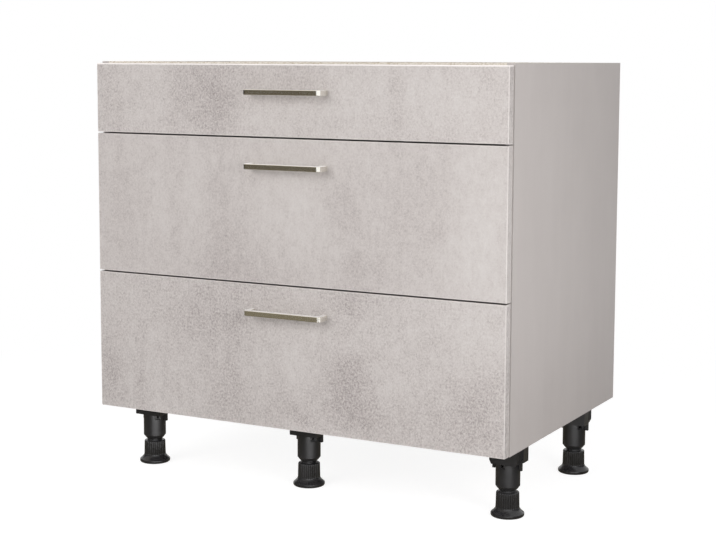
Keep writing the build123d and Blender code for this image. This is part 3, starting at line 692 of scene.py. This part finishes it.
def make_feet():
    """The six feet, each on the body of its own screw joint."""
    material = leg_plastic("foot_plastic", gloss=0.2, dull=0.34)
    points, faces = foot_surface()
    for node in [name for name in nodes if name.startswith("leg_foot_")]:
        low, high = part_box(node)
        axis = np.array(((low.x + high.x) / 2, (low.y + high.y) / 2, low.z))
        foot = "foot_" + node.removeprefix("leg_foot_")
        mesh_piece(foot, points * MM + axis, faces, material, foot, "leg_plastic", [node])


# ---------------------------------------------------------------------------------------
# Screws, in millimetres
# ---------------------------------------------------------------------------------------
HANDLE_SCREW = {"shaft_radius": 2.0, "head_radius": 4.0, "length": 28.0, "head_height": 2.6,
                "cross_radius": 2.3, "cross_depth": 1.5}
RUNNER_SCREW = {"shaft_radius": 3.0, "head_radius": 4.5, "length": 11.0, "head_height": 1.0,
                "cross_radius": 2.4, "cross_depth": 1.3}
RUNNER_SCREW_OFFSETS = (0.0, 176.0, 368.0)          # from a runner's first screw
SCREW_COLUMNS = 48
CROWN_ROWS = 16
CROWN_FALL = 0.3                        # of the head's height, from its middle to its edge
CROSS_ARM = 0.55                        # half the width of a cross's arm
CROSS_EDGE = 0.35                       # width of the sloped wall beside it
# Each turns a screw's head from upwards to another way.
HEAD_TO_BACK = ((1, 0, 0), (0, 0, 1), (0, -1, 0))
HEAD_TO_RIGHT = ((0, 0, 1), (1, 0, 0), (0, 1, 0))
HEAD_TO_LEFT = ((0, 0, -1), (-1, 0, 0), (0, 1, 0))


def screw_surface(shaft_radius, head_radius, length, head_height, cross_radius, cross_depth):
    """A cross-recess screw, with its tip at the bottom and its head on top.

    The outline goes up the shaft and round the head, then inwards over a crown that falls with the
    square of the radius. Where a point of the crown lies near either arm of the cross, within the
    cross's radius, it sinks by the cross's depth, with sloped walls."""
    crown_radii = np.linspace(0.9, 0.03, CROWN_ROWS) * head_radius
    crown_heights = length + head_height * (1 - CROWN_FALL * (crown_radii / head_radius) ** 2)
    shaft_and_rim = [(0.5 * shaft_radius, 0.0), (shaft_radius, 0.5 * shaft_radius),
                     (shaft_radius, length - 0.02), (0.96 * head_radius, length),
                     (head_radius, length + 0.2 * head_height),
                     (0.98 * head_radius, length + 0.5 * head_height)]
    outline = np.array(shaft_and_rim + list(zip(crown_radii, crown_heights)))
    angles = full_turn(SCREW_COLUMNS)
    radii = np.repeat(outline[:, :1], SCREW_COLUMNS, axis=1)
    nearest_arm = radii * np.minimum(np.abs(np.cos(angles)), np.abs(np.sin(angles)))
    sunk = (np.clip((CROSS_ARM + CROSS_EDGE - nearest_arm) / CROSS_EDGE, 0, 1)
            * np.clip((cross_radius - radii) / CROSS_EDGE, 0, 1))
    sunk[:len(shaft_and_rim)] = 0
    return turned_surface(radii, outline[:, 1:] - cross_depth * sunk, angles)


def make_handle_screws(zinc):
    """Two screws for each handle, whose heads are seen inside the drawer."""
    points, faces = screw_surface(**HANDLE_SCREW)
    head_radius = HANDLE_SCREW["head_radius"] * MM
    for level in LEVELS:
        node = "handle_screws_" + level
        low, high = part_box(node)
        places = [(x, low.y, (low.z + high.z) / 2) for x in (low.x + head_radius, high.x - head_radius)]
        pair = repeated(points * MM, faces, [HEAD_TO_BACK] * len(places), places)
        mesh_piece("handle_screw_pair_" + level, *pair, zinc, "drawer_" + level, "fitting_metal", [node])


def make_runner_screws(zinc):
    """The screws that hold the cabinet's runners to both side panels."""
    points, faces = screw_surface(**RUNNER_SCREW)
    low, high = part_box("runner_screws")
    first_y = low.y + RUNNER_SCREW["head_radius"] * MM
    turns = []
    places = []
    for level in LEVELS:
        rail_low, rail_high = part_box("cabinet_runner_left_" + level)
        z = (rail_low.z + rail_high.z) / 2
        for offset in RUNNER_SCREW_OFFSETS:
            y = first_y + offset * MM
            turns += [HEAD_TO_RIGHT, HEAD_TO_LEFT]
            places += [(low.x, y, z), (high.x, y, z)]
    mesh_piece("runner_screw_set", *repeated(points * MM, faces, turns, places), zinc, "root",
               "fitting_metal", ["runner_screws"])


# ---------------------------------------------------------------------------------------
# Latch frames of the legs, in millimetres
# ---------------------------------------------------------------------------------------
LATCH_HALF_WIDTH = 5.9
LATCH_HALF_HEIGHT = 4.3
LATCH_WALL = 0.8                        # half the width of the frame's bar
LATCH_RISE = 0.8                        # half the thickness of the bar
LATCH_DEPTH = 22.4                      # from the tube's axis to the middle of the bar
LATCH_HEIGHT = 98.75                    # above the floor
LATCH_ANGLE = 53.0                      # round the tube, from the front towards the right
TURNED_LATCH_ANGLE = -8.0               # on the front right leg, whose window looks forwards
LATCH_COLUMNS = 64                      # along the frame
LATCH_ROWS = 12                         # round its bar


def latch_surface():
    """The rounded frame inside a leg tube's latch window, seen from the front.

    Along the frame the place goes round a rectangle with soft corners: half its width times the cube
    root of the cosine, half its height times the cube root of the sine. Round the bar, the wall
    times a second cosine is added to both halves, and the rise times the second sine moves the
    point out of the window."""
    along = full_turn(LATCH_COLUMNS, start=0.5)
    around = full_turn(LATCH_ROWS)
    wall = LATCH_WALL * np.cos(around)
    across = np.cbrt(np.cos(along))[:, None]
    up = np.cbrt(np.sin(along))[:, None]
    x = across * (LATCH_HALF_WIDTH + wall)
    z = LATCH_HEIGHT + up * (LATCH_HALF_HEIGHT + wall)
    y = np.broadcast_to(-LATCH_DEPTH - LATCH_RISE * np.sin(around), x.shape)
    points = np.stack((x, y, z), axis=-1).reshape(-1, 3)
    index = np.arange(x.size).reshape(x.shape)
    next_along = np.roll(index, -1, axis=0)
    next_around = np.roll(index, -1, axis=1)
    beyond = np.roll(next_along, -1, axis=1)
    return points, np.stack((index, next_along, beyond, next_around), axis=-1).reshape(-1, 4).tolist()


def make_latches():
    """The frames in the latch windows of all six leg tubes."""
    points, faces = latch_surface()
    turns = []
    places = []
    for node in [name for name in nodes if name.startswith("leg_tube_")]:
        low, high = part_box(node)
        angle = math.radians(TURNED_LATCH_ANGLE if node.endswith("front_right") else LATCH_ANGLE)
        turns.append(((math.cos(angle), -math.sin(angle), 0), (math.sin(angle), math.cos(angle), 0),
                      (0, 0, 1)))
        places.append(((low.x + high.x) / 2, (low.y + high.y) / 2, 0))
    material = leg_plastic("latch_plastic", gloss=0.22, dull=0.34)
    mesh_piece("leg_latch_frames", *repeated(points * MM, faces, turns, places), material, "root",
               "leg_plastic")


# ---------------------------------------------------------------------------------------
# Light and floor
# ---------------------------------------------------------------------------------------
WORLD_STRENGTH = 0.42
FLOOR_RADIUS = 14.0
FLOOR_SIDES = 96
FLOOR_PALE = 0.8                        # how much of the light on it the floor throws back
FLOOR_GLOW = 0.88                       # added where rays from the camera, metal and glass meet it
FLOOR_SHADE = 0.28                      # how strongly the object's shadow shows on it
FLOOR_FADE_START = 0.9                  # from the object's middle, where the white ground begins
FLOOR_FADE_END = 1.6
KEY_LAMP = {"place": (-1.2, -3.5, 1.8), "aim": (0.0, -0.1, 0.45), "size": 2.4, "power": 70}
SIDE_LAMP = {"place": (1.6, -0.95, 0.8), "aim": (0.45, -0.1, 0.5), "size": 0.5, "power": 10.0}


def seen_directly(graph):
    """1 for rays from the camera, from a mirroring surface or through a clear one."""
    path = graph.node("ShaderNodeLightPath").outputs
    seen = graph.math("MAXIMUM", path["Is Camera Ray"], path["Is Glossy Ray"])
    return graph.math("MAXIMUM", seen, path["Is Transmission Ray"])


def make_world():
    """White where it is seen, and an even soft light elsewhere."""
    world = bpy.data.worlds.new("studio")
    bpy.context.scene.world = world
    world.use_nodes = True
    graph = Graph(world.node_tree)
    background = world.node_tree.nodes["Background"]
    strength = graph.node("ShaderNodeMapRange", {"Value": seen_directly(graph),
                                                 "To Min": WORLD_STRENGTH, "To Max": 1.0})
    graph.set(background, "Color", WHITE)
    graph.set(background, "Strength", strength.outputs[0])


def stage_board(name, corners):
    """A flat board of the studio, and the empty graph of its material."""
    mesh = bpy.data.meshes.new(name)
    mesh.from_pydata(corners, [], [list(range(len(corners)))])
    board = bpy.data.objects.new(name, mesh)
    bpy.context.scene.collection.objects.link(board)
    material = bpy.data.materials.new(name)
    material.use_nodes = True
    material.node_tree.nodes.clear()
    mesh.materials.append(material)
    return board, Graph(material.node_tree)


def mix_shaders(graph, factor, first, second):
    """The first shader where factor is 0, and the second where it is 1."""
    return graph.node("ShaderNodeMixShader", {0: factor, 1: first.outputs[0], 2: second.outputs[0]})


def make_floor():
    """A pale round floor that turns into the white ground away from the object."""
    angles = full_turn(FLOOR_SIDES)
    rim = np.stack((np.cos(angles), np.sin(angles), np.zeros(FLOOR_SIDES)), axis=-1) * FLOOR_RADIUS
    graph = stage_board("floor", rim.tolist())[1]
    pale = graph.node("ShaderNodeBsdfDiffuse", {"Color": (FLOOR_PALE,) * 3 + (1,)})
    shade = graph.node("ShaderNodeBsdfDiffuse", {"Color": (FLOOR_SHADE,) * 3 + (1,)})
    glow = graph.node("ShaderNodeEmission", {"Strength": FLOOR_GLOW})
    white = graph.node("ShaderNodeEmission", {"Strength": 1.0})
    near = graph.node("ShaderNodeAddShader", {0: shade.outputs[0], 1: glow.outputs[0]})
    away = graph.step(graph.vector("LENGTH", graph.place()), FLOOR_FADE_START, FLOOR_FADE_END)
    surface = mix_shaders(graph, seen_directly(graph), pale, mix_shaders(graph, away, near, white))
    graph.node("ShaderNodeOutputMaterial", {"Surface": surface.outputs[0]})


def area_lamp(name, place, aim, size, power):
    """A square soft lamp that faces the point aimed at. Mirroring surfaces don't show it."""
    data = bpy.data.lights.new(name, "AREA")
    data.size = size
    data.energy = power
    lamp = bpy.data.objects.new(name, data)
    bpy.context.scene.collection.objects.link(lamp)
    lamp.location = place
    lamp.rotation_euler = (Vector(aim) - Vector(place)).to_track_quat("-Z", "Y").to_euler()
    lamp.visible_glossy = False


# ---------------------------------------------------------------------------------------
# What metal and plastic mirror
# ---------------------------------------------------------------------------------------
def level_corners(x_span, y_span, z):
    """The corners of a level board."""
    (x0, x1), (y0, y1) = x_span, y_span
    return [(x0, y0, z), (x1, y0, z), (x1, y1, z), (x0, y1, z)]


def upright_corners(start, end, z_span):
    """The corners of an upright board that runs from start to end, and faces the right of that way."""
    z0, z1 = z_span
    return [(*start, z0), (*end, z0), (*end, z1), (*start, z1)]


STUDIO_LEFT = -3.4
STUDIO_FRONT = -3.4
STUDIO_BACK = 0.8
DARK_FLOOR_RIGHT = 0.75
DARK_WALL_TOP = 1.6
LOW_CARD_FRONT = -0.9
LOW_CARD_SPAN = (0.0, 0.2)
CEILING = 2.9
MIRRORED_CARDS = (
    ("dark_floor_card", srgb(128, 121, 103),
     level_corners((STUDIO_LEFT, DARK_FLOOR_RIGHT), (STUDIO_FRONT, STUDIO_BACK), 0.001)),
    ("dark_corner_card", srgb(92, 86, 74),
     upright_corners((STUDIO_LEFT, STUDIO_FRONT), (-0.75, STUDIO_FRONT), (0.0, DARK_WALL_TOP))),
    ("low_right_card", srgb(22, 21, 19),
     upright_corners((DARK_FLOOR_RIGHT, LOW_CARD_FRONT), (DARK_FLOOR_RIGHT, 0.9), LOW_CARD_SPAN)),
    ("low_front_card", srgb(60, 57, 50),
     upright_corners((-1.3, LOW_CARD_FRONT), (DARK_FLOOR_RIGHT, LOW_CARD_FRONT), LOW_CARD_SPAN)),
    ("grey_ceiling_card", srgb(230, 224, 214), level_corners((-4.4, 1.0), (-4.0, 1.6), CEILING)),
    ("grey_wall_card", srgb(186, 180, 168),
     upright_corners((-3.6, -3.6), (-0.2, -3.6), (DARK_WALL_TOP, CEILING))),
    ("dark_side_card", srgb(24, 20, 15),
     upright_corners((STUDIO_LEFT, STUDIO_FRONT), (STUDIO_LEFT, STUDIO_BACK), (0.0, DARK_WALL_TOP))),
)
# A bright upright card stands before each leg that is seen, on the way from the leg to a point a
# little to the right of the camera, and faces the leg. Its back isn't seen.
LEG_CARD_STRENGTHS = {"front_left": 4.4, "front_middle": 3.9, "front_right": 2.1, "back_right": 2.4}
LEG_CARD_DISTANCE = 0.22
LEG_CARD_HALF_WIDTH = 0.12
LEG_CARD_SPAN = (0.01, 0.12)            # its lower and upper edge
RIGHT_OF_CAMERA = 0.5


def reflection_card(name, colour, corners, strength=1.0, one_sided=False):
    """A plain board that only mirroring surfaces show, as they show the rest of a studio."""
    card, graph = stage_board(name, corners)
    card.visible_camera = False
    card.visible_diffuse = False
    card.visible_shadow = False
    card.visible_transmission = False
    surface = graph.node("ShaderNodeEmission", {"Color": colour, "Strength": strength})
    if one_sided:
        behind = graph.node("ShaderNodeNewGeometry").outputs["Backfacing"]
        surface = mix_shaders(graph, behind, surface, graph.node("ShaderNodeBsdfTransparent"))
    graph.node("ShaderNodeOutputMaterial", {"Surface": surface.outputs[0]})


def make_reflections():
    """The unlit parts and the ceiling of the studio, and the bright cards before the legs."""
    for name, colour, corners in MIRRORED_CARDS:
        reflection_card(name, colour, corners)
    viewer = Vector((CAMERA_PLACE[0] + RIGHT_OF_CAMERA, CAMERA_PLACE[1]))
    for leg, strength in LEG_CARD_STRENGTHS.items():
        low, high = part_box("leg_tube_" + leg)
        axis = Vector(((low.x + high.x) / 2, (low.y + high.y) / 2))
        towards = (viewer - axis).normalized()
        across = Vector((-towards.y, towards.x)) * LEG_CARD_HALF_WIDTH
        centre = axis + towards * LEG_CARD_DISTANCE
        corners = upright_corners(centre + across, centre - across, LEG_CARD_SPAN)
        reflection_card("leg_light_" + leg, WHITE, corners, strength, one_sided=True)


# ---------------------------------------------------------------------------------------
# The scene
# ---------------------------------------------------------------------------------------
bpy.context.scene.view_settings.view_transform = "Standard"
make_camera()
make_world()
make_floor()
area_lamp("key_lamp", **KEY_LAMP)
area_lamp("side_lamp", **SIDE_LAMP)
make_reflections()
zinc_finish = zinc_fitting()
dress_all(zinc_finish)
make_feet()
make_handle_screws(zinc_finish)
make_runner_screws(zinc_finish)
make_latches()
